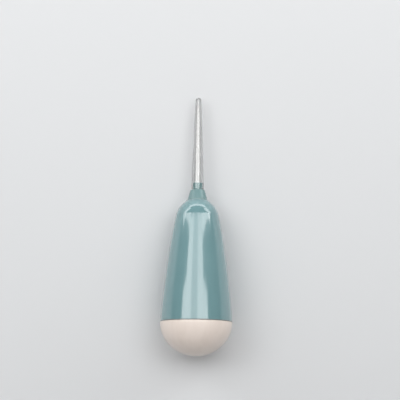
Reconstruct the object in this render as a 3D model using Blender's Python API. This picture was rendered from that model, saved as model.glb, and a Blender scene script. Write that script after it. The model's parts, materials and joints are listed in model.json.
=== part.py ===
# Craft awl: a pear-shaped moulded handle with a palm dome, a steel needle and a clear point protector.
# All pieces are turned about one axis. Places along it are measured from the rear pole of the dome.
# The awl lies on its side on a bench at z = 0, with its needle towards +Y. Lengths are in metres.

import math

import bmesh
import bpy
from mathutils import Matrix, Vector
from mathutils.geometry import interpolate_bezier

# Handle, outside
HANDLE_RADIUS = 0.0181
WIDEST_AT = 0.0170
NECK_RADIUS = 0.0107
NECK_AT = 0.0706
NECK_TURN = math.radians(13)
NECK_REACH = 0.015
BELLY_TURN = math.radians(2.5)
BELLY_REACH = 0.011
SHOULDER_RADIUS = 0.0103
SHOULDER_TURN = math.radians(50)
SHOULDER_CENTRE = (
    NECK_RADIUS - SHOULDER_RADIUS * math.cos(NECK_TURN),
    NECK_AT - SHOULDER_RADIUS * math.sin(NECK_TURN),
)
SEAM_AT = 0.0172

# Handle, inside
WALL = 0.0022
GAP = 0.0003
SNUG = 0.00015
EDGE = 0.0003
SKIRT_RADIUS = 0.0155
SKIRT_WALL = 0.0017
SKIRT_LENGTH = 0.008
BEAD_HEIGHT = 0.0004
BEAD_AT = 0.0217
BEAD_FLAT = 0.0010
RIB_WIDTH = 0.0014
RIB_TOP_AT = 0.0130
RIB_ROOT = 0.0008
RIB_ANGLES = [math.radians(45 + 90 * turn) for turn in range(4)]

# Needle holder, from its spigot back to the end of its stem
SPIGOT_RADIUS = 0.0024
SPIGOT_END_AT = 0.0865
SEAT_AT = 0.0830
NOSE_TIP_RADIUS = 0.0035
NOSE_ROOT_RADIUS = 0.0050
NOSE_ROOT_AT = 0.0780
FLANGE_RADIUS = 0.0074
FLANGE_REAR_AT = 0.0705
STEM_RADIUS = 0.0036
STEM_END_AT = 0.0083
FIN_REACH = 0.0066
FIN_FOOT_AT = 0.0640
FIN_END_AT = 0.0380

# Boss in the dome, which the stem bears on
BOSS_RADIUS = 0.0057
BOSS_TOP_AT = 0.0270

# Needle
NEEDLE_RADIUS = 0.00125
TAPER_AT = 0.1010
POINT_RADIUS = 0.0010
POINT_AT = 0.1180
TIP_RADIUS = 0.00006
TIP_AT = 0.1282
POINT_BELLY = (0.00085, 0.1215)
POINT_FLANK = (0.00055, 0.1258)
HEAD_RADIUS = 0.0020
HEAD_AT = 0.0600
HEAD_LENGTH = 0.0015

# Point protector
RIM_AT = SEAT_AT + GAP
RIM_RADIUS = 0.00312
CROWN_RADIUS = 0.00145
CROWN_AT = 0.12805
PROTECTOR_WALL = 0.0005
HOLLOW_END_AT = 0.1286

# Facets round each turned piece. A flat of each faces straight down, because 90 degrees falls midway between
# two corners.
SIDES = 30
NEEDLE_SIDES = 18

# Points along each curved stretch of an outline
BELLY_POINTS = 18
HOLLOW_POINTS = 12
SHOULDER_POINTS = 8
FLANGE_POINTS = 4
BOWL_POINTS = 13
BOWL_INNER_POINTS = 6
NEEDLE_POINT_POINTS = 7
CROWN_POINTS = 6

# How the awl lies: its axis dips towards the tip, yet leaves room above the bench to draw the protector off.
REST_TILT = math.radians(5.7)

# Finish: points closer than this are one, and a fold sharper than this shows as an edge
SAME_POINT = 1e-6
SHARP_FOLD = math.radians(35)
MINT = (0.150, 0.279, 0.296)
MINT_ROUGHNESS = 0.20
NOSE_MINT = (0.166, 0.278, 0.284)
NOSE_ROUGHNESS = 0.30
CREAM = (0.825, 0.728, 0.660)
CREAM_ROUGHNESS = 0.40
STEEL = (0.72, 0.72, 0.715)
STEEL_ROUGHNESS = 0.60
CLEAR = (0.93, 0.96, 0.96)
CLEAR_ROUGHNESS = 0.06
CLEAR_IOR = 1.49


def bend(start, start_pull, end_pull, end, count):
    """Points of a smooth curve, each a radius and a place along the axis."""
    knots = [Vector(knot) for knot in (start, start_pull, end_pull, end)]
    return [tuple(point) for point in interpolate_bezier(*knots, count)]


def arc(centre, radius_out, radius_along, start, end, count):
    """Points of an elliptical arc. Angle 0 points away from the axis, a quarter turn points to the tip."""
    angles = [start + (end - start) * step / (count - 1) for step in range(count)]
    return [
        (centre[0] + radius_out * math.cos(angle), centre[1] + radius_along * math.sin(angle))
        for angle in angles
    ]


def slide_to_radius(point, radius):
    """The point at this radius on the front cone's slope, reached from the given one."""
    return radius, point[1] + (point[0] - radius) / math.tan(SHOULDER_TURN)


def shoulder(thickness, start, count):
    """The rounded front of the shell from this angle to the front cone, drawn in by this thickness."""
    radius = SHOULDER_RADIUS - thickness
    return arc(SHOULDER_CENTRE, radius, radius, start, SHOULDER_TURN, count)


def belly(thickness, count):
    """The handle's long side from its rear edge to its neck, drawn in by this thickness."""
    radius = HANDLE_RADIUS - thickness
    rear = SEAM_AT + GAP / 2 + EDGE
    neck = shoulder(thickness, NECK_TURN, SHOULDER_POINTS)[0]
    return bend(
        (radius, rear),
        (radius - BELLY_REACH * math.tan(BELLY_TURN), rear + BELLY_REACH),
        (neck[0] + NECK_REACH * math.tan(NECK_TURN), neck[1] - NECK_REACH),
        neck,
        count,
    )


def dome(thickness, low_radius, high_radius, count):
    """The dome's bowl between two radii, from the smaller to the larger, drawn in by this thickness."""
    out = HANDLE_RADIUS - thickness
    along = WIDEST_AT - thickness
    start = -math.acos(low_radius / out)
    end = -math.acos(high_radius / out)
    return arc((0.0, WIDEST_AT), out, along, start, end, count)


def shell_outline():
    opening = NOSE_ROOT_RADIUS + GAP
    rear = SEAM_AT + GAP / 2
    skirt_room = SKIRT_RADIUS + GAP
    groove = skirt_room + BEAD_HEIGHT
    room_end = SEAM_AT + SKIRT_LENGTH + GAP
    outer_front = shoulder(0.0, NECK_TURN, SHOULDER_POINTS)[1:]
    inner_front = shoulder(WALL, NECK_TURN, SHOULDER_POINTS)
    inner_side = [point for point in belly(WALL, HOLLOW_POINTS) if point[1] > room_end]
    inner_start = (inner_side[0][0], room_end)
    outline = [(HANDLE_RADIUS - EDGE, rear)] + belly(0.0, BELLY_POINTS) + outer_front
    outline.append(slide_to_radius(outer_front[-1], opening))
    outline.append(slide_to_radius(inner_front[-1], opening))
    outline += inner_front[:0:-1] + inner_side[::-1]
    outline += [inner_start, (skirt_room, room_end)]
    outline += [
        (skirt_room, BEAD_AT + BEAD_FLAT + GAP),
        (groove, BEAD_AT + BEAD_FLAT / 2 + GAP),
        (groove, BEAD_AT - BEAD_FLAT / 2 - GAP),
        (skirt_room, BEAD_AT - BEAD_FLAT - GAP),
        (skirt_room, rear),
    ]
    return outline


def dome_outline():
    socket = STEM_RADIUS + GAP
    skirt_bore = SKIRT_RADIUS - SKIRT_WALL
    skirt_end = SEAM_AT + SKIRT_LENGTH
    front = SEAM_AT - GAP / 2
    bead = SKIRT_RADIUS + BEAD_HEIGHT
    floor_at = STEM_END_AT - GAP
    outline = [(0.0, floor_at), (socket, floor_at), (socket, BOSS_TOP_AT), (BOSS_RADIUS, BOSS_TOP_AT)]
    outline += dome(WALL, BOSS_RADIUS, skirt_bore, BOWL_INNER_POINTS)
    outline += [
        (skirt_bore, skirt_end),
        (SKIRT_RADIUS - EDGE, skirt_end),
        (SKIRT_RADIUS, skirt_end - EDGE),
        (SKIRT_RADIUS, BEAD_AT + BEAD_FLAT),
        (bead, BEAD_AT + BEAD_FLAT / 2),
        (bead, BEAD_AT - BEAD_FLAT / 2),
        (SKIRT_RADIUS, BEAD_AT - BEAD_FLAT),
        (SKIRT_RADIUS, front),
        (HANDLE_RADIUS - EDGE, front),
    ]
    outline += dome(0.0, 0.0, HANDLE_RADIUS, BOWL_POINTS)[::-1]
    return outline


def rib_outline():
    """One web between the boss and the skirt, rooted in both and in the bowl."""
    inner = BOSS_RADIUS - RIB_ROOT
    outer = SKIRT_RADIUS - SKIRT_WALL + RIB_ROOT
    foot = dome(WALL - RIB_ROOT, inner, outer, BOWL_INNER_POINTS)
    return foot + [(outer, RIB_TOP_AT), (inner, RIB_TOP_AT)]


def holder_outline():
    bore = NEEDLE_RADIUS + SNUG
    pocket = HEAD_RADIUS + SNUG
    pocket_rear = HEAD_AT - SNUG
    pocket_front = HEAD_AT + HEAD_LENGTH + SNUG
    inset = WALL + GAP
    flange_turn = math.acos((FLANGE_RADIUS - SHOULDER_CENTRE[0]) / (SHOULDER_RADIUS - inset))
    flange_front = shoulder(inset, flange_turn, FLANGE_POINTS)
    return [
        (0.0, pocket_rear),
        (pocket, pocket_rear),
        (pocket, pocket_front),
        (bore, pocket_front),
        (bore, SPIGOT_END_AT),
        (SPIGOT_RADIUS - EDGE, SPIGOT_END_AT),
        (SPIGOT_RADIUS, SPIGOT_END_AT - EDGE),
        (SPIGOT_RADIUS, SEAT_AT),
        (NOSE_TIP_RADIUS - EDGE, SEAT_AT),
        (NOSE_TIP_RADIUS, SEAT_AT - EDGE),
        (NOSE_ROOT_RADIUS, NOSE_ROOT_AT),
        slide_to_radius(flange_front[-1], NOSE_ROOT_RADIUS),
        *flange_front[::-1],
        (FLANGE_RADIUS, FLANGE_REAR_AT),
        (STEM_RADIUS, FLANGE_REAR_AT),
        (STEM_RADIUS, STEM_END_AT + EDGE),
        (STEM_RADIUS - EDGE, STEM_END_AT),
        (0.0, STEM_END_AT),
    ]


def fin_outline():
    """One fin along the stem, rooted in the stem and in the flange."""
    inner = STEM_RADIUS - RIB_ROOT
    top = FLANGE_REAR_AT + RIB_ROOT
    outer_edge = [(STEM_RADIUS, FIN_END_AT), (FIN_REACH, FIN_FOOT_AT), (FIN_REACH, top)]
    return [(inner, FIN_END_AT)] + outer_edge + [(inner, top)]


def needle_outline():
    head_front = HEAD_AT + HEAD_LENGTH
    start = (POINT_RADIUS, POINT_AT)
    end = (TIP_RADIUS, TIP_AT)
    point = bend(start, POINT_BELLY, POINT_FLANK, end, NEEDLE_POINT_POINTS)
    outline = [(0.0, HEAD_AT), (HEAD_RADIUS, HEAD_AT), (HEAD_RADIUS, head_front), (NEEDLE_RADIUS, head_front)]
    outline.append((NEEDLE_RADIUS, TAPER_AT))
    return outline + point + [(0.0, TIP_AT)]


def protector_outline():
    spigot_end = SPIGOT_END_AT + GAP
    mouth = RIM_RADIUS - PROTECTOR_WALL
    hollow_crown = CROWN_RADIUS - PROTECTOR_WALL
    hollow_crown_at = HOLLOW_END_AT - hollow_crown
    crown_height = HOLLOW_END_AT + PROTECTOR_WALL + SNUG - CROWN_AT
    outside = arc((0.0, CROWN_AT), CROWN_RADIUS, crown_height, math.pi / 2, 0.0, CROWN_POINTS)
    outside += [(RIM_RADIUS, RIM_AT)]
    inside = [(mouth, RIM_AT), (mouth, spigot_end)]
    inside += arc((0.0, hollow_crown_at), hollow_crown, hollow_crown, 0.0, math.pi / 2, CROWN_POINTS)
    return outside + inside


def plastic(name, colour, roughness):
    material = bpy.data.materials.new(name)
    material.use_nodes = True
    shader = material.node_tree.nodes["Principled BSDF"]
    shader.inputs["Base Color"].default_value = (*colour, 1.0)
    shader.inputs["Roughness"].default_value = roughness
    shader.inputs["Metallic"].default_value = 0.0
    material.diffuse_color = (*colour, 1.0)
    return material


def satin_steel(name):
    material = plastic(name, STEEL, STEEL_ROUGHNESS)
    material.node_tree.nodes["Principled BSDF"].inputs["Metallic"].default_value = 1.0
    return material


def clear_plastic(name):
    material = plastic(name, CLEAR, CLEAR_ROUGHNESS)
    shader = material.node_tree.nodes["Principled BSDF"]
    shader.inputs["Transmission Weight"].default_value = 1.0
    shader.inputs["IOR"].default_value = CLEAR_IOR
    return material


def finish(bm, name, at, axis):
    """Closes the mesh into an object that sits at this place on the awl's axis."""
    bmesh.ops.translate(bm, vec=(0.0, 0.0, -at), verts=bm.verts[:])
    bmesh.ops.recalc_face_normals(bm, faces=bm.faces[:])
    mesh = bpy.data.meshes.new(name)
    bm.to_mesh(mesh)
    bm.free()
    mesh.shade_smooth()
    mesh.set_sharp_from_angle(angle=SHARP_FOLD)
    piece = bpy.data.objects.new(name, mesh)
    bpy.context.scene.collection.objects.link(piece)
    piece.parent = axis
    piece.location.z = at
    return piece


def turned(name, outline, at, axis, material, sides=SIDES):
    """A piece turned from its outline. An outline that doesn't start on the axis is closed into a ring."""
    bm = bmesh.new()
    corners = [bm.verts.new((radius, 0.0, along)) for radius, along in outline]
    edges = [bm.edges.new(pair) for pair in zip(corners, corners[1:])]
    if outline[0][0] > 0.0:
        edges.append(bm.edges.new((corners[-1], corners[0])))
    bmesh.ops.spin(
        bm,
        geom=corners + edges,
        cent=(0.0, 0.0, 0.0),
        axis=(0.0, 0.0, 1.0),
        angle=2 * math.pi,
        steps=sides,
        use_merge=True,
    )
    bmesh.ops.remove_doubles(bm, verts=bm.verts[:], dist=SAME_POINT)
    piece = finish(bm, name, at, axis)
    piece.data.materials.append(material)
    return piece


def add_webs(piece, outline, at, axis):
    """Joins four flat webs of this outline to a piece, evenly round the axis."""
    bm = bmesh.new()
    for angle in RIB_ANGLES:
        corners = [bm.verts.new((radius, -RIB_WIDTH / 2, along)) for radius, along in outline]
        face = bm.faces.new(corners)
        grown = bmesh.ops.extrude_face_region(bm, geom=[face], use_keep_orig=True)["geom"]
        far = [item for item in grown if isinstance(item, bmesh.types.BMVert)]
        bmesh.ops.translate(bm, vec=(0.0, RIB_WIDTH, 0.0), verts=far)
        turn = Matrix.Rotation(angle, 3, "Z")
        bmesh.ops.rotate(bm, cent=(0.0, 0.0, 0.0), matrix=turn, verts=corners + far)
    webs = finish(bm, piece.name + "_webs", at, axis)
    webs.hide_render = True
    webs.display_type = "WIRE"
    union = piece.modifiers.new("webs", "BOOLEAN")
    union.operation = "UNION"
    union.solver = "EXACT"
    union.object = webs


def lay_down(axis):
    """Tilts the awl, stands its lowest flat on the bench and centres its length on the origin."""
    flat = math.cos(math.pi / SIDES)
    dip = math.sin(REST_TILT)
    level = math.cos(REST_TILT)
    height = max(along * dip + radius * flat * level for radius, along in shell_outline())
    rear = min(along * level - radius * flat * dip for radius, along in dome_outline())
    front = max(along * level + radius * flat * dip for radius, along in protector_outline())
    axis.rotation_euler.x = -math.pi / 2 - REST_TILT
    axis.location = (0.0, -(rear + front) / 2, height)


def build():
    for old in list(bpy.data.objects):
        bpy.data.objects.remove(old)
    axis = bpy.data.objects.new("awl_axis", None)
    bpy.context.scene.collection.objects.link(axis)

    shell_mint = plastic("shell_mint", MINT, MINT_ROUGHNESS)
    holder_mint = plastic("holder_mint", NOSE_MINT, NOSE_ROUGHNESS)
    dome_cream = plastic("dome_cream", CREAM, CREAM_ROUGHNESS)

    turned("handle_shell", shell_outline(), SEAM_AT, axis, shell_mint)
    palm_dome = turned("palm_dome", dome_outline(), 0.0, axis, dome_cream)
    add_webs(palm_dome, rib_outline(), 0.0, axis)
    holder = turned("needle_holder", holder_outline(), SEAT_AT, axis, holder_mint)
    add_webs(holder, fin_outline(), SEAT_AT, axis)
    turned("needle", needle_outline(), SPIGOT_END_AT, axis, satin_steel("needle_steel"), NEEDLE_SIDES)
    turned("point_protector", protector_outline(), RIM_AT, axis, clear_plastic("protector_clear"))
    lay_down(axis)


build()
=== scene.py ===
import json
import math

import bmesh
import bpy
from mathutils import Matrix, Vector
from mathutils.geometry import interpolate_bezier


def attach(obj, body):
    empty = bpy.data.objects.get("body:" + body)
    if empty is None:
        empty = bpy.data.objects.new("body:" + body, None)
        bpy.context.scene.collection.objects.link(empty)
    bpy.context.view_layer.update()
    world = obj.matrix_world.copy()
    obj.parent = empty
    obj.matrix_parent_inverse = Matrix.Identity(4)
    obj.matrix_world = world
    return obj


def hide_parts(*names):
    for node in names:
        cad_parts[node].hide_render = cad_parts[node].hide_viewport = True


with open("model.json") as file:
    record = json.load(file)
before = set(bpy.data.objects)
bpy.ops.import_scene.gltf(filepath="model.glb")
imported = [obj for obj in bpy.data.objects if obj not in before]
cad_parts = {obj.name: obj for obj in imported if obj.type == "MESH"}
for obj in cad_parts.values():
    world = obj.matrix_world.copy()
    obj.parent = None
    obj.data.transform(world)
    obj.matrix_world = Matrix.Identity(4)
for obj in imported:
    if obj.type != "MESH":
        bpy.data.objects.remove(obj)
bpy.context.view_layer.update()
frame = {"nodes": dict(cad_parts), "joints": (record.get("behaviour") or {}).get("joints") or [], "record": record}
print("frame loaded:", sorted(frame["nodes"]))


# The awl is turned about one axis. The protector slides along it and the grip's point lies on it.
def findAxis():
    along = Vector(frame["joints"][0]["axis"]).normalized()
    grip = Vector(frame["record"]["mounts"][0]["pos_m"])
    rear = min((vert.co - grip).dot(along) for vert in frame["nodes"]["palm_dome"].data.vertices)
    return Matrix.Translation(grip + along * rear) @ along.to_track_quat("Z", "Y").to_matrix().to_4x4()


awlPlace = findAxis()  # its origin is the dome's rear pole, its Z points to the needle's tip
flatCount = 30  # flats round the solids
drawIn = 0.9985  # keeps a round piece inside the flats, and its curves inside their chords
roundFit = math.cos(math.pi / flatCount) * drawIn
justInside = 0.99  # the faces of a turned wall have their centres a little inside its radius
margin = 1e-5  # how near a point has to be to count as on a line
weldDistance = 1e-6
sharpTurn = math.radians(40)
quarterPull = 0.5523  # pull that makes a quarter circle of a sweep
print("axis starts at", [round(value, 5) for value in awlPlace.translation])


# Outlines. A point is a radius and a place along the axis, with a third number where its corner is rounded.
def sweep(start, startPull, endPull, end, count):
    knots = [Vector(knot) for knot in (start, startPull, endPull, end)]
    return [tuple(point) for point in interpolate_bezier(*knots, count)]


def bowl(radius, depth, centreAt, innerRadius, outerRadius, count):
    first = math.acos(innerRadius / radius)
    last = math.acos(outerRadius / radius)
    angles = [first + (last - first) * step / (count - 1) for step in range(count)]
    return [(radius * math.cos(angle), centreAt - depth * math.sin(angle)) for angle in angles]


def turnOutline(outline, sides, roundSteps=5):
    bm = bmesh.new()
    corners = [bm.verts.new((point[0] * roundFit, 0.0, point[1])) for point in outline]
    for pair in zip(corners, corners[1:]):
        bm.edges.new(pair)
    if outline[0][0] > 0.0:
        bm.edges.new((corners[-1], corners[0]))
    roundings = sorted({point[2] for point in outline if len(point) > 2})
    for reach in roundings:
        picked = [vert for vert, point in zip(corners, outline) if point[2:] == (reach,)]
        bmesh.ops.bevel(
            bm, geom=picked, offset=reach, offset_type="OFFSET", affect="VERTICES",
            segments=roundSteps, profile=0.5, material=-1, clamp_overlap=True,
        )
    bmesh.ops.spin(
        bm, geom=bm.verts[:] + bm.edges[:], cent=(0, 0, 0), axis=(0, 0, 1),
        angle=2 * math.pi, steps=sides, use_merge=True,
    )
    bmesh.ops.remove_doubles(bm, verts=bm.verts[:], dist=weldDistance)
    bmesh.ops.recalc_face_normals(bm, faces=bm.faces[:])
    return bm


# Four webs. Each takes the place of a strip of wall, and runs straight between the strip's two ends.
def addWebs(bm, inStrip, isEnd, webTurn):
    for quarter in range(4):
        middle = math.radians(45 + 90 * quarter)

        def near(point):
            off = math.atan2(point.y, point.x) - middle
            return abs(math.remainder(off, 2 * math.pi)) < webTurn

        strip = [
            face for face in bm.faces
            if near(face.calc_center_median()) and inStrip(face.calc_center_median())
        ]
        ends = [edge for face in strip for edge in face.edges if isEnd(*[vert.co for vert in edge.verts])]
        bmesh.ops.delete(bm, geom=strip, context="FACES")
        bmesh.ops.bridge_loops(bm, edges=list({edge for edge in ends if edge.is_valid}))
        bmesh.ops.holes_fill(bm, edges=[edge for edge in bm.edges if edge.is_boundary], sides=0)
    bmesh.ops.recalc_face_normals(bm, faces=bm.faces[:])


def finishPiece(bm, name, material, body, node):
    bmesh.ops.transform(bm, matrix=awlPlace, verts=bm.verts[:])
    mesh = bpy.data.meshes.new(name)
    bm.to_mesh(mesh)
    bm.free()
    mesh.shade_smooth()
    mesh.set_sharp_from_angle(angle=sharpTurn)
    piece = bpy.data.objects.new(name, mesh)
    bpy.context.scene.collection.objects.link(piece)
    mesh.materials.append(material)
    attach(piece, body)
    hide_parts(node)
    print("made", name, "with", len(mesh.polygons), "faces")
    return piece


# Node helpers: a value that is a socket is linked, anything else is set.
def addNode(tree, kind, inputs=None, **settings):
    node = tree.nodes.new(kind)
    for name, value in settings.items():
        setattr(node, name, value)
    for name, value in (inputs or {}).items():
        if isinstance(value, bpy.types.NodeSocket):
            tree.links.new(value, node.inputs[name])
        else:
            node.inputs[name].default_value = value
    return node


def doMath(tree, operation, first, second=0.0, clamp=False):
    node = addNode(tree, "ShaderNodeMath", {0: first, 1: second}, operation=operation, use_clamp=clamp)
    return node.outputs[0]


def mixColour(tree, amount, first, second):
    node = addNode(tree, "ShaderNodeMix", data_type="RGBA")
    sockets = {socket.identifier: socket for socket in node.inputs}
    for name, value in {"Factor_Float": amount, "A_Color": first, "B_Color": second}.items():
        if isinstance(value, bpy.types.NodeSocket):
            tree.links.new(value, sockets[name])
        else:
            sockets[name].default_value = value
    return next(socket for socket in node.outputs if socket.identifier == "Result_Color")


def stretch(tree, value, low, high, toLow=0.0, toHigh=1.0):
    node = addNode(
        tree, "ShaderNodeMapRange",
        {"Value": value, "From Min": low, "From Max": high, "To Min": toLow, "To Max": toHigh},
        interpolation_type="SMOOTHSTEP",
    )
    return node.outputs["Result"]


def newGroup(name, inputs, outputs):
    tree = bpy.data.node_groups.new(name, "ShaderNodeTree")
    for label, kind, default in inputs:
        socket = tree.interface.new_socket(label, in_out="INPUT", socket_type="NodeSocket" + kind)
        if default is not None:
            socket.default_value = default
    for label, kind in outputs:
        tree.interface.new_socket(label, in_out="OUTPUT", socket_type="NodeSocket" + kind)
    return tree, tree.nodes.new("NodeGroupInput").outputs, tree.nodes.new("NodeGroupOutput").inputs


# Colour of a moulding: faint long streaks where the plastic flowed, and fine specks of pigment.
def makeMouldColour():
    tree, given, result = newGroup(
        "mouldColour",
        [("Place", "Vector", None), ("Colour", "Color", None), ("Deep Colour", "Color", None),
         ("Streaks", "Float", 0.5), ("Specks", "Float", 0.2)],
        [("Colour", "Color")],
    )
    along = addNode(tree, "ShaderNodeMapping", {"Vector": given["Place"], "Scale": (1.0, 1.0, 0.22)})
    flow = addNode(
        tree, "ShaderNodeTexNoise",
        {"Vector": along.outputs[0], "Scale": 190.0, "Detail": 3.0, "Roughness": 0.55, "Distortion": 0.6},
    )
    speck = addNode(tree, "ShaderNodeTexNoise", {"Vector": given["Place"], "Scale": 2600.0, "Detail": 1.0})
    flowMask = doMath(tree, "MULTIPLY", stretch(tree, flow.outputs[0], 0.38, 0.66), given["Streaks"])
    speckMask = doMath(tree, "MULTIPLY", stretch(tree, speck.outputs[0], 0.62, 0.74), given["Specks"])
    mask = doMath(tree, "ADD", flowMask, speckMask, clamp=True)
    tree.links.new(mixColour(tree, mask, given["Colour"], given["Deep Colour"]), result["Colour"])
    return tree


# Skin of a moulding: the fine grain of the tool as a height, and gloss that varies over it.
def makeMouldSkin():
    tree, given, result = newGroup(
        "mouldSkin",
        [("Place", "Vector", None), ("Grain Scale", "Float", 3000.0), ("Gloss", "Float", 0.2),
         ("Gloss Spread", "Float", 0.05)],
        [("Roughness", "Float"), ("Height", "Float")],
    )
    grain = addNode(
        tree, "ShaderNodeTexNoise",
        {"Vector": given["Place"], "Scale": given["Grain Scale"], "Detail": 2.0, "Roughness": 0.6},
    )
    cloud = addNode(
        tree, "ShaderNodeTexNoise",
        {"Vector": given["Place"], "Scale": 110.0, "Detail": 4.0, "Roughness": 0.6, "Distortion": 0.4},
    )
    swing = stretch(tree, cloud.outputs[0], 0.3, 0.7, -1.0, 1.0)
    spread = doMath(tree, "MULTIPLY", swing, given["Gloss Spread"])
    tree.links.new(doMath(tree, "ADD", given["Gloss"], spread, clamp=True), result["Roughness"])
    tree.links.new(grain.outputs[0], result["Height"])
    return tree


# A ring round the axis at a joint, broken up a little: dust, with painted shade where parts meet; on the mint the
# ring comes out paler, a painted highlight along the edge.
def makeJointDustAndShading():
    tree, given, result = newGroup(
        "jointDustAndShading",
        [("Place", "Vector", None), ("At", "Float", 0.0), ("Reach", "Float", 0.001),
         ("Strength", "Float", 1.0)],
        [("Mask", "Float")],
    )
    along = addNode(tree, "ShaderNodeSeparateXYZ", {"Vector": given["Place"]})
    offset = doMath(tree, "ABSOLUTE", doMath(tree, "SUBTRACT", along.outputs["Z"], given["At"]))
    share = doMath(tree, "DIVIDE", offset, given["Reach"])
    band = stretch(tree, share, 0.0, 1.0, 1.0, 0.0)
    breakUp = addNode(tree, "ShaderNodeTexNoise", {"Vector": given["Place"], "Scale": 420.0, "Detail": 3.0})
    patchy = stretch(tree, breakUp.outputs[0], 0.25, 0.6, 0.35, 1.0)
    mask = doMath(tree, "MULTIPLY", doMath(tree, "MULTIPLY", band, patchy), given["Strength"], clamp=True)
    tree.links.new(mask, result["Mask"])
    return tree


# Hairlines that run along the axis, from polishing or from sliding in and out of a fit.
def makeHairlines():
    tree, given, result = newGroup(
        "hairlines",
        [("Place", "Vector", None), ("Fineness", "Float", 5200.0), ("Length", "Float", 0.012)],
        [("Lines", "Float")],
    )
    squash = addNode(tree, "ShaderNodeCombineXYZ", {"X": 1.0, "Y": 1.0, "Z": given["Length"]})
    drawn = addNode(
        tree, "ShaderNodeVectorMath", {0: given["Place"], 1: squash.outputs[0]}, operation="MULTIPLY"
    )
    noise = addNode(
        tree, "ShaderNodeTexNoise",
        {"Vector": drawn.outputs[0], "Scale": given["Fineness"], "Detail": 3.0, "Roughness": 0.7},
    )
    tree.links.new(stretch(tree, noise.outputs[0], 0.3, 0.7), result["Lines"])
    return tree


mouldColour = makeMouldColour()
mouldSkin = makeMouldSkin()
jointDustAndShading = makeJointDustAndShading()
hairlines = makeHairlines()
print("node groups ready")


# A material whose patterns are laid out on the awl's own axis
def startMaterial(name):
    material = bpy.data.materials.new(name)
    material.use_nodes = True
    tree = material.node_tree
    shader = tree.nodes["Principled BSDF"]
    coordinates = addNode(tree, "ShaderNodeTexCoord")
    place = addNode(
        tree, "ShaderNodeMapping",
        {"Vector": coordinates.outputs["Object"], "Location": awlPlace.translation,
         "Rotation": awlPlace.to_euler()},
        vector_type="TEXTURE",
    )
    return material, tree, shader, place.outputs[0]


def useGroup(tree, group, inputs):
    return addNode(tree, "ShaderNodeGroup", inputs, node_tree=group).outputs


def addBump(tree, shader, height, strength, distance):
    bump = addNode(
        tree, "ShaderNodeBump", {"Height": height, "Strength": strength, "Distance": distance}
    )
    tree.links.new(bump.outputs["Normal"], shader.inputs["Normal"])


# What the three plastic mouldings share
mouldedFinish = {
    "ior": 1.50,
    "streaks": 0.55,
    "specks": 0.35,
    "grainStrength": 0.35,
    # dust colour that also paints shade on the cream and a paler painted edge highlight on the mint
    "dustAndShading": (0.300, 0.290, 0.270, 1.0),
    "dustRoughness": 0.3,
}


# Each joint is a place along the axis that gets a ring of dust with painted shade and highlight, with its reach
# and strength
def mouldedPlastic(name, values, joints):
    material, tree, shader, place = startMaterial(name)
    tint = useGroup(
        tree, mouldColour,
        {"Place": place, "Colour": values["colour"], "Deep Colour": values["deepColour"],
         "Streaks": mouldedFinish["streaks"], "Specks": mouldedFinish["specks"]},
    )["Colour"]
    skin = useGroup(
        tree, mouldSkin,
        {"Place": place, "Grain Scale": values["grainScale"], "Gloss": values["gloss"],
         "Gloss Spread": values["glossSpread"]},
    )
    roughness = skin["Roughness"]
    for jointAt, reach, strength in joints:
        # each joint's ring mixes in dust with painted shade and painted edge highlight
        mask = useGroup(
            tree, jointDustAndShading, {"Place": place, "At": jointAt, "Reach": reach, "Strength": strength}
        )["Mask"]
        tint = mixColour(tree, mask, tint, mouldedFinish["dustAndShading"])
        dusty = doMath(tree, "MULTIPLY", mask, mouldedFinish["dustRoughness"])
        roughness = doMath(tree, "ADD", roughness, dusty, clamp=True)
    tree.links.new(tint, shader.inputs["Base Color"])
    tree.links.new(roughness, shader.inputs["Roughness"])
    shader.inputs["IOR"].default_value = mouldedFinish["ior"]
    shader.inputs["Coat Weight"].default_value = values["coat"]
    shader.inputs["Coat Roughness"].default_value = values["coatRoughness"]
    shader.inputs["Coat IOR"].default_value = values["coatIor"]
    addBump(tree, shader, skin["Height"], mouldedFinish["grainStrength"], values["grainDepth"])
    return material


# Handle shell: a hollow pear with a rounded shoulder, a sloping front and a round mouth for the nose
handleValues = {
    "radius": 0.0181,
    "rearAt": 0.01728,
    "rearTurn": math.radians(2.5),
    "bellyPull": 0.011,
    "neckPull": 0.015,
    "neckTurn": math.radians(13),
    "neckRadius": 0.0107,
    "neckAt": 0.0706,
    "shoulderRadius": 0.0103,
    "frontTurn": math.radians(50),
    "mouthRadius": 0.00515,
    "wall": 0.0022,
    "lip": 0.00025,
    "skirtRoom": 0.0158,
    "roomEndAt": 0.0255,
    "grooveAt": 0.0217,
    "grooveReach": 0.0013,
    "grooveDepth": 0.0004,
    "shoulderShare": 0.98,  # how much of its tangent a shoulder's rounding takes, outside and inside
    "innerShare": 0.5,
    "shoulderSteps": 12,
    "bellySteps": 32,
    "sides": 160,
    "colour": (0.150, 0.279, 0.296, 1.0),
    "deepColour": (0.137, 0.262, 0.279, 1.0),
    "gloss": 0.17,
    "glossSpread": 0.035,
    "grainScale": 3400.0,
    "grainDepth": 0.00002,
    "coat": 1.0,
    "coatRoughness": 0.07,
    "coatIor": 1.55,
    # rings of dust with painted shade and highlight at the seam and the mouth: reach and strength
    "rearDustAndShading": (0.0007, 0.5),
    "mouthDustAndShading": (0.0007, 0.15),
}


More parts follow.
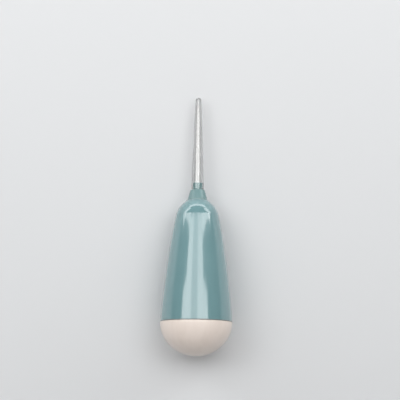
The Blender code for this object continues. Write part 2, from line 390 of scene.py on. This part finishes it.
def makeHandle(values):
    radius, wall, neck = values["radius"], values["wall"], values["neckRadius"]
    rearAt, neckAt, mouth = values["rearAt"], values["neckAt"], values["mouthRadius"]
    neckTurn, turn = values["neckTurn"], values["frontTurn"]
    tangent = values["shoulderRadius"] * math.tan((turn - neckTurn) / 2)
    corner = (neck - tangent * math.sin(neckTurn), neckAt + tangent * math.cos(neckTurn))
    frontAt = corner[1] + (corner[0] - mouth) / math.tan(turn)
    wallAlong = wall / math.sin(turn)
    inset = wall / math.cos((turn - neckTurn) / 2)
    middleTurn = (turn + neckTurn) / 2
    innerCorner = (corner[0] - inset * math.cos(middleTurn), corner[1] - inset * math.sin(middleTurn))
    room, roomEnd = values["skirtRoom"], values["roomEndAt"]
    grooveAt, reach = values["grooveAt"], values["grooveReach"]
    groove = room + values["grooveDepth"]

    def belly(thickness):
        rear, front = radius - thickness, neck - thickness
        return sweep(
            (rear, rearAt),
            (rear - values["bellyPull"] * math.tan(values["rearTurn"]), rearAt + values["bellyPull"]),
            (front + values["neckPull"] * math.tan(neckTurn), neckAt - values["neckPull"]),
            (front, neckAt),
            values["bellySteps"],
        )

    outline = [(radius, rearAt, values["lip"])] + belly(0.0)[1:]
    outline += [
        (*corner, tangent * values["shoulderShare"]),
        (mouth, frontAt, values["lip"]),
        (mouth, frontAt - wallAlong, values["lip"]),
        (*innerCorner, tangent * values["innerShare"]),
    ]
    outline += [point for point in belly(wall)[::-1] if point[1] > roomEnd]
    outline += [
        (room, roomEnd),
        (room, grooveAt + reach),
        (groove, grooveAt + reach / 2),
        (groove, grooveAt - reach / 2),
        (room, grooveAt - reach),
        (room, rearAt, values["lip"]),
    ]
    joints = [(rearAt, *values["rearDustAndShading"]), (frontAt, *values["mouthDustAndShading"])]
    material = mouldedPlastic("mintGloss", values, joints)
    bm = turnOutline(outline, values["sides"], values["shoulderSteps"])
    return finishPiece(bm, "handleShell", material, "awl", "handle_shell")


makeHandle(handleValues)


# Palm dome: a half ellipse with a snap skirt, and inside it a boss on four webs
domeValues = {
    "radius": 0.0181,
    "centreAt": 0.0170,
    "depth": 0.01697,
    "lipAt": 0.01714,
    "lip": 0.00025,
    "wall": 0.0022,
    "skirtRadius": 0.0155,
    "skirtWall": 0.0017,
    "skirtEndAt": 0.0252,
    "beadAt": 0.0217,
    "beadReach": 0.0010,
    "beadHeight": 0.0004,
    "bossRadius": 0.0057,
    "bossTopAt": 0.0270,
    "socketRadius": 0.0039,
    "socketFloorAt": 0.0080,
    "webTopAt": 0.0130,
    "webTurn": math.radians(5.2),
    "innerSteps": 14,
    "outerSteps": 48,
    "sides": 144,
    "colour": (0.825, 0.728, 0.660, 1.0),
    "deepColour": (0.780, 0.680, 0.610, 1.0),
    "gloss": 0.40,
    "glossSpread": 0.04,
    "grainScale": 2600.0,
    "grainDepth": 0.00003,
    "coat": 0.5,
    "coatRoughness": 0.12,
    "coatIor": 1.5,
    # ring of dust with painted shade at the seam: reach and strength
    "lipDustAndShading": (0.0006, 0.35),
}


def makeDome(values):
    radius, depth, wall = values["radius"], values["depth"], values["wall"]
    boss, socket, lip = values["bossRadius"], values["socketRadius"], values["lip"]
    skirt = values["skirtRadius"]
    bore = skirt - values["skirtWall"]
    bead = skirt + values["beadHeight"]
    beadAt, reach = values["beadAt"], values["beadReach"]
    webTop, centreAt = values["webTopAt"], values["centreAt"]
    outline = [
        (0.0, values["socketFloorAt"]),
        (socket, values["socketFloorAt"]),
        (socket, values["bossTopAt"], lip),
        (boss, values["bossTopAt"], lip),
        (boss, webTop),
    ]
    outline += bowl(radius - wall, depth - wall, centreAt, boss, bore, values["innerSteps"])
    outline += [
        (bore, webTop),
        (bore, values["skirtEndAt"], lip),
        (skirt, values["skirtEndAt"], lip),
        (skirt, beadAt + reach),
        (bead, beadAt + reach / 2),
        (bead, beadAt - reach / 2),
        (skirt, beadAt - reach),
        (skirt, values["lipAt"]),
        (radius, values["lipAt"], lip),
    ]
    outline += bowl(radius, depth, centreAt, 0.0, radius, values["outerSteps"])[-2::-1]
    bm = turnOutline(outline, values["sides"])

    # The bowl's inside, the boss and the skirt below the webs' tops. The bowl's outside lies lower.
    def inStrip(point):
        out = point.xy.length
        halfway = centreAt - (depth - wall / 2) * math.sqrt(max(0.0, 1 - (out / radius) ** 2))
        onRing = boss * roundFit * justInside < out < bore * roundFit + margin
        return onRing and halfway < point.z < webTop

    def isEnd(first, second):
        return abs(first.z - webTop) < margin and abs(second.z - webTop) < margin

    addWebs(bm, inStrip, isEnd, values["webTurn"])
    material = mouldedPlastic("creamSatin", values, [(values["lipAt"], *values["lipDustAndShading"])])
    return finishPiece(bm, "palmDome", material, "awl", "palm_dome")


makeDome(domeValues)


# Needle holder: the nose and its spigot, and inside the shell a flange and a stem with four fins
holderValues = {
    "spigotRadius": 0.0024,
    "spigotEndAt": 0.0865,
    "seatAt": 0.0830,
    "noseTipRadius": 0.0035,
    "noseRootRadius": 0.0050,
    "noseRootAt": 0.0780,
    "flangeRadius": 0.0074,
    "flangeFrontAt": 0.0722,
    "neckFrontAt": 0.0747,
    "flangeRearAt": 0.0705,
    "stemRadius": 0.0036,
    "stemEndAt": 0.0083,
    "finReach": 0.0066,
    "finEndAt": 0.0380,
    "bore": 0.00127,
    "pocketRadius": 0.00215,
    "pocketRearAt": 0.05985,
    "pocketFrontAt": 0.06165,
    "edge": 0.0003,
    "boreEdge": 0.0001,
    "seatEdge": 0.00015,
    "rootEdge": 0.0006,
    "finTurn": math.radians(9),
    "sides": 96,
    "colour": (0.166, 0.278, 0.284, 1.0),
    "deepColour": (0.153, 0.263, 0.269, 1.0),
    "gloss": 0.30,
    "glossSpread": 0.04,
    "grainScale": 3400.0,
    "grainDepth": 0.00002,
    "coat": 0.15,
    "coatRoughness": 0.1,
    "coatIor": 1.5,
    # rings of dust with painted shade and highlight at the nose's root and the seat: reach and strength
    "rootDustAndShading": (0.0008, 0.15),
    "seatDustAndShading": (0.0004, 0.2),
}


def makeHolder(values):
    edge, stem, reach = values["edge"], values["stemRadius"], values["finReach"]
    outline = [
        (0.0, values["pocketRearAt"]),
        (values["pocketRadius"], values["pocketRearAt"]),
        (values["pocketRadius"], values["pocketFrontAt"]),
        (values["bore"], values["pocketFrontAt"]),
        (values["bore"], values["spigotEndAt"], values["boreEdge"]),
        (values["spigotRadius"], values["spigotEndAt"], edge),
        (values["spigotRadius"], values["seatAt"], values["seatEdge"]),
        (values["noseTipRadius"], values["seatAt"], edge),
        (values["noseRootRadius"], values["noseRootAt"], values["rootEdge"]),
        (values["noseRootRadius"], values["neckFrontAt"]),
        (values["flangeRadius"], values["flangeFrontAt"]),
        (values["flangeRadius"], values["flangeRearAt"]),
        (reach, values["flangeRearAt"]),
        (stem, values["flangeRearAt"]),
        (stem, values["finEndAt"]),
        (stem, values["stemEndAt"], edge),
        (0.0, values["stemEndAt"]),
    ]
    bm = turnOutline(outline, values["sides"])

    def inStrip(point):
        onStem = stem * roundFit * justInside < point.xy.length < stem * roundFit + margin
        onFlange = stem < point.xy.length < reach and abs(point.z - values["flangeRearAt"]) < margin
        return onFlange or (onStem and values["finEndAt"] < point.z < values["flangeRearAt"])

    def isEnd(first, second):
        atStem = all(abs(point.z - values["finEndAt"]) < margin for point in (first, second))
        atFlange = all(abs(point.xy.length - reach * roundFit) < margin for point in (first, second))
        return atStem or atFlange

    addWebs(bm, inStrip, isEnd, values["finTurn"])
    joints = [(values["noseRootAt"], *values["rootDustAndShading"]), (values["seatAt"], *values["seatDustAndShading"])]
    material = mouldedPlastic("mintSatin", values, joints)
    return finishPiece(bm, "needleHolder", material, "awl", "needle_holder")


makeHolder(holderValues)


# Needle: a straight shank, a long taper and a ground point, with an upset head inside the holder
needleValues = {
    "radius": 0.00125,
    "taperAt": 0.1010,
    "pointRadius": 0.0010,
    "pointAt": 0.1180,
    "pointBelly": (0.00085, 0.1215),
    "pointFlank": (0.00055, 0.1258),
    "tipRadius": 0.00006,
    "tipAt": 0.1282,
    "headRadius": 0.0020,
    "headAt": 0.0600,
    "headLength": 0.0015,
    "headEdge": 0.0003,
    "taperEase": 0.004,
    "pointSteps": 20,
    "sides": 64,
    "steel": (0.72, 0.72, 0.715, 1.0),
    "steelDark": (0.64, 0.64, 0.635, 1.0),
    "polish": 0.72,
    "polishSpread": 0.05,
    "hairFineness": 6500.0,
    "hairLength": 0.010,
    "hairShade": 0.35,
    "hairRoughness": 0.10,
    "hairStrength": 0.25,
    "hairDepth": 0.00001,
}


def makeSteel(values):
    material, tree, shader, place = startMaterial("groundSteel")
    lines = useGroup(
        tree, hairlines,
        {"Place": place, "Fineness": values["hairFineness"], "Length": values["hairLength"]},
    )["Lines"]
    patches = useGroup(
        tree, mouldSkin,
        {"Place": place, "Gloss": values["polish"], "Gloss Spread": values["polishSpread"]},
    )["Roughness"]
    shade = doMath(tree, "MULTIPLY", lines, values["hairShade"])
    tint = mixColour(tree, shade, values["steel"], values["steelDark"])
    lineRoughness = doMath(tree, "MULTIPLY", lines, values["hairRoughness"])
    roughness = doMath(tree, "ADD", patches, lineRoughness, clamp=True)
    tree.links.new(tint, shader.inputs["Base Color"])
    tree.links.new(roughness, shader.inputs["Roughness"])
    shader.inputs["Metallic"].default_value = 1.0
    addBump(tree, shader, lines, values["hairStrength"], values["hairDepth"])
    return material


def makeNeedle(values):
    headFront = values["headAt"] + values["headLength"]
    outline = [
        (0.0, values["headAt"]),
        (values["headRadius"], values["headAt"], values["headEdge"]),
        (values["headRadius"], headFront, values["headEdge"]),
        (values["radius"], headFront),
        (values["radius"], values["taperAt"], values["taperEase"]),
    ]
    outline += sweep(
        (values["pointRadius"], values["pointAt"]), values["pointBelly"], values["pointFlank"],
        (values["tipRadius"], values["tipAt"]), values["pointSteps"],
    )
    outline.append((0.0, values["tipAt"] + values["tipRadius"] / 2))
    bm = turnOutline(outline, values["sides"])
    return finishPiece(bm, "steelNeedle", makeSteel(values), "awl", "needle")


makeNeedle(needleValues)


# Point protector: a thin clear cap, tapered and closed, that sits over the spigot
protectorValues = {
    "rimAt": 0.0833,
    "rimRadius": 0.00312,
    "crownAt": 0.12805,
    "crownRadius": 0.00145,
    "tipAt": 0.12922,
    "wall": 0.0005,
    "boreEndAt": 0.0868,
    "hollowEndAt": 0.1286,
    "rimEdge": 0.0002,
    "mouthEdge": 0.0001,
    "boreEase": 0.0004,
    "crownSteps": 14,
    "sides": 96,
    "clear": (0.970, 0.970, 0.968, 1.0),
    "clearDeep": (0.952, 0.955, 0.953, 1.0),
    "smoke": (0.345, 0.350, 0.350, 1.0),
    "smokeDensity": 480.0,
    "passing": (0.96, 0.96, 0.96, 1.0),
    "ior": 1.49,
    "streaks": 0.6,
    "gloss": 0.05,
    "glossSpread": 0.03,
    "grainScale": 1500.0,
    "grainStrength": 0.02,
    "grainDepth": 0.00001,
}


def makeClear(values):
    material, tree, shader, place = startMaterial("clearMoulding")
    tint = useGroup(
        tree, mouldColour,
        {"Place": place, "Colour": values["clear"], "Deep Colour": values["clearDeep"],
         "Streaks": values["streaks"], "Specks": 0.0},
    )["Colour"]
    skin = useGroup(
        tree, mouldSkin,
        {"Place": place, "Grain Scale": values["grainScale"], "Gloss": values["gloss"],
         "Gloss Spread": values["glossSpread"]},
    )
    tree.links.new(tint, shader.inputs["Base Color"])
    tree.links.new(skin["Roughness"], shader.inputs["Roughness"])
    shader.inputs["Transmission Weight"].default_value = 1.0
    shader.inputs["IOR"].default_value = values["ior"]
    addBump(tree, shader, skin["Height"], values["grainStrength"], values["grainDepth"])
    # Lamps shine through the thin wall, so its shadow stays light
    passing = addNode(tree, "ShaderNodeBsdfTransparent", {"Color": values["passing"]})
    path = addNode(tree, "ShaderNodeLightPath")
    mix = addNode(tree, "ShaderNodeMixShader", {0: path.outputs["Is Shadow Ray"]})
    tree.links.new(shader.outputs[0], mix.inputs[1])
    tree.links.new(passing.outputs[0], mix.inputs[2])
    tree.links.new(mix.outputs[0], tree.nodes["Material Output"].inputs["Surface"])
    smoke = addNode(
        tree, "ShaderNodeVolumeAbsorption", {"Color": values["smoke"], "Density": values["smokeDensity"]}
    )
    tree.links.new(smoke.outputs[0], tree.nodes["Material Output"].inputs["Volume"])
    return material


def makeProtector(values):
    wall = values["wall"]
    mouth = values["rimRadius"] - wall
    crown = values["crownRadius"]
    hollow = crown - wall
    rise = values["tipAt"] - values["crownAt"]
    outside = sweep(
        (0.0, values["tipAt"]), (crown * quarterPull, values["tipAt"]),
        (crown, values["crownAt"] + rise * quarterPull), (crown, values["crownAt"]), values["crownSteps"],
    )
    hollowAt = values["hollowEndAt"] - hollow
    inside = sweep(
        (hollow, hollowAt), (hollow, hollowAt + hollow * quarterPull),
        (hollow * quarterPull, values["hollowEndAt"]), (0.0, values["hollowEndAt"]), values["crownSteps"],
    )
    outline = outside + [
        (values["rimRadius"], values["rimAt"], values["rimEdge"]),
        (mouth, values["rimAt"], values["mouthEdge"]),
        (mouth, values["boreEndAt"], values["boreEase"]),
    ]
    outline += inside
    bm = turnOutline(outline, values["sides"])
    return finishPiece(
        bm, "pointProtector", makeClear(values), "protector", "point_protector"
    )


makeProtector(protectorValues)


# Floor, light and camera
stageValues = {
    "floorSize": 12.0,
    "floorColour": (0.68, 0.69, 0.70, 1.0),
    "floorRoughness": 0.8,
    "floorShine": 0.1,
    "rearLevel": 0.10,
    "tipLevel": 0.18,
    "horizonLevel": 0.60,
    "horizonReach": 0.05,
    "lampHeight": 0.8,
    # one level bank of lamps: middle across and along, width, depth (shares of the height), turn, radiance
    "lamps": {
        "lampMiddle": (-0.135, 0.40, 0.39, 0.72, 0.0, 2.4),
        "lampLeftNear": (-0.725, 0.265, 0.79, 0.45, 0.0, 3.9),
        "lampRightNear": (0.42, 0.235, 0.72, 0.39, 0.0, 3.9),
        "lampLeftFar": (-0.555, 0.64, 0.45, 0.30, 0.0, 3.8),
        "lampRightFar": (0.26, 0.60, 0.40, 0.34, 0.0, 3.6),
        "lampLeftTip": (-2.14, 1.36, 3.05, 0.187, -22.5, 4.4),
        "lampRightTip": (1.80, 1.228, 2.91, 0.211, 22.0, 4.3),
        "lampRear": (0.0, -1.25, 3.0, 1.5, 0.0, 0.45),
    },
    # upright panels: direction, span (degrees), distance, lower edge, upper edge, radiance
    "panels": {
        "panelRight": (43.5, 33.0, 0.6, 0.035, 0.225, 3.3),
        "panelAhead": (90.0, 60.0, 0.6, 0.0, 0.115, 3.3),
        "panelLeft": (137.75, 35.5, 0.6, 0.045, 0.185, 3.3),
    },
}


def makeFloor(values):
    bm = bmesh.new()
    bmesh.ops.create_grid(bm, x_segments=2, y_segments=2, size=values["floorSize"] / 2)
    mesh = bpy.data.meshes.new("floor")
    bm.to_mesh(mesh)
    bm.free()
    floor = bpy.data.objects.new("floor", mesh)
    bpy.context.scene.collection.objects.link(floor)
    material = bpy.data.materials.new("paleFloor")
    material.use_nodes = True
    shader = material.node_tree.nodes["Principled BSDF"]
    shader.inputs["Base Color"].default_value = values["floorColour"]
    shader.inputs["Roughness"].default_value = values["floorRoughness"]
    shader.inputs["Specular IOR Level"].default_value = values["floorShine"]
    mesh.materials.append(material)


def addLamp(name, width, depth, radiance, place, turns):
    lamp = bpy.data.lights.new(name, "AREA")
    lamp.shape = "RECTANGLE"
    lamp.size = width
    lamp.size_y = depth
    lamp.energy = radiance * math.pi * width * depth
    lampObject = bpy.data.objects.new(name, lamp)
    bpy.context.scene.collection.objects.link(lampObject)
    lampObject.location = place
    lampObject.rotation_euler = turns
    lampObject.visible_camera = False


def makeLamps(values):
    height = values["lampHeight"]
    for name, (across, along, width, depth, turn, radiance) in values["lamps"].items():
        place = (across * height, along * height, height)
        addLamp(name, width * height, depth * height, radiance, place, (0.0, 0.0, math.radians(turn)))
    for name, (direction, span, distance, low, high, radiance) in values["panels"].items():
        angle = math.radians(direction)
        width = 2 * distance * math.tan(math.radians(span / 2))
        place = (distance * math.cos(angle), distance * math.sin(angle), (low + high) / 2)
        addLamp(name, width, high - low, radiance, place, (math.pi / 2, 0.0, angle + math.pi / 2))


# Dim behind the dome, lighter past the tip, with a pale rim where it meets the floor
def makeWorld(values):
    world = bpy.data.worlds.new("studio")
    bpy.context.scene.world = world
    world.use_nodes = True
    tree = world.node_tree
    coordinates = addNode(tree, "ShaderNodeTexCoord")
    direction = addNode(tree, "ShaderNodeSeparateXYZ", {"Vector": coordinates.outputs["Generated"]})
    level = stretch(tree, direction.outputs["Y"], -1.0, 1.0, values["rearLevel"], values["tipLevel"])
    rim = stretch(tree, direction.outputs["Z"], 0.0, values["horizonReach"], 1.0, 0.0)
    rimColour = (*[values["horizonLevel"]] * 3, 1.0)
    tree.links.new(mixColour(tree, rim, level, rimColour), tree.nodes["Background"].inputs["Color"])


cameraValues = {
    "height": 2.0,
    "fieldWidth": 0.1990,  # what the image spans at the axis's mean height
    "fieldHeight": 0.0130,
    "centre": (0.00125, 0.0133),
    "roll": math.radians(0.60),
}


def makeCamera(values):
    camera = bpy.data.cameras.new("camera")
    camera.lens = camera.sensor_width * (values["height"] - values["fieldHeight"]) / values["fieldWidth"]
    cameraObject = bpy.data.objects.new("camera", camera)
    bpy.context.scene.collection.objects.link(cameraObject)
    cameraObject.location = (*values["centre"], values["height"])
    cameraObject.rotation_euler.z = values["roll"]
    bpy.context.scene.camera = cameraObject


makeFloor(stageValues)
makeLamps(stageValues)
makeWorld(stageValues)
makeCamera(cameraValues)
bpy.context.scene.view_settings.view_transform = "Standard"
print("stage, lamps and camera ready")
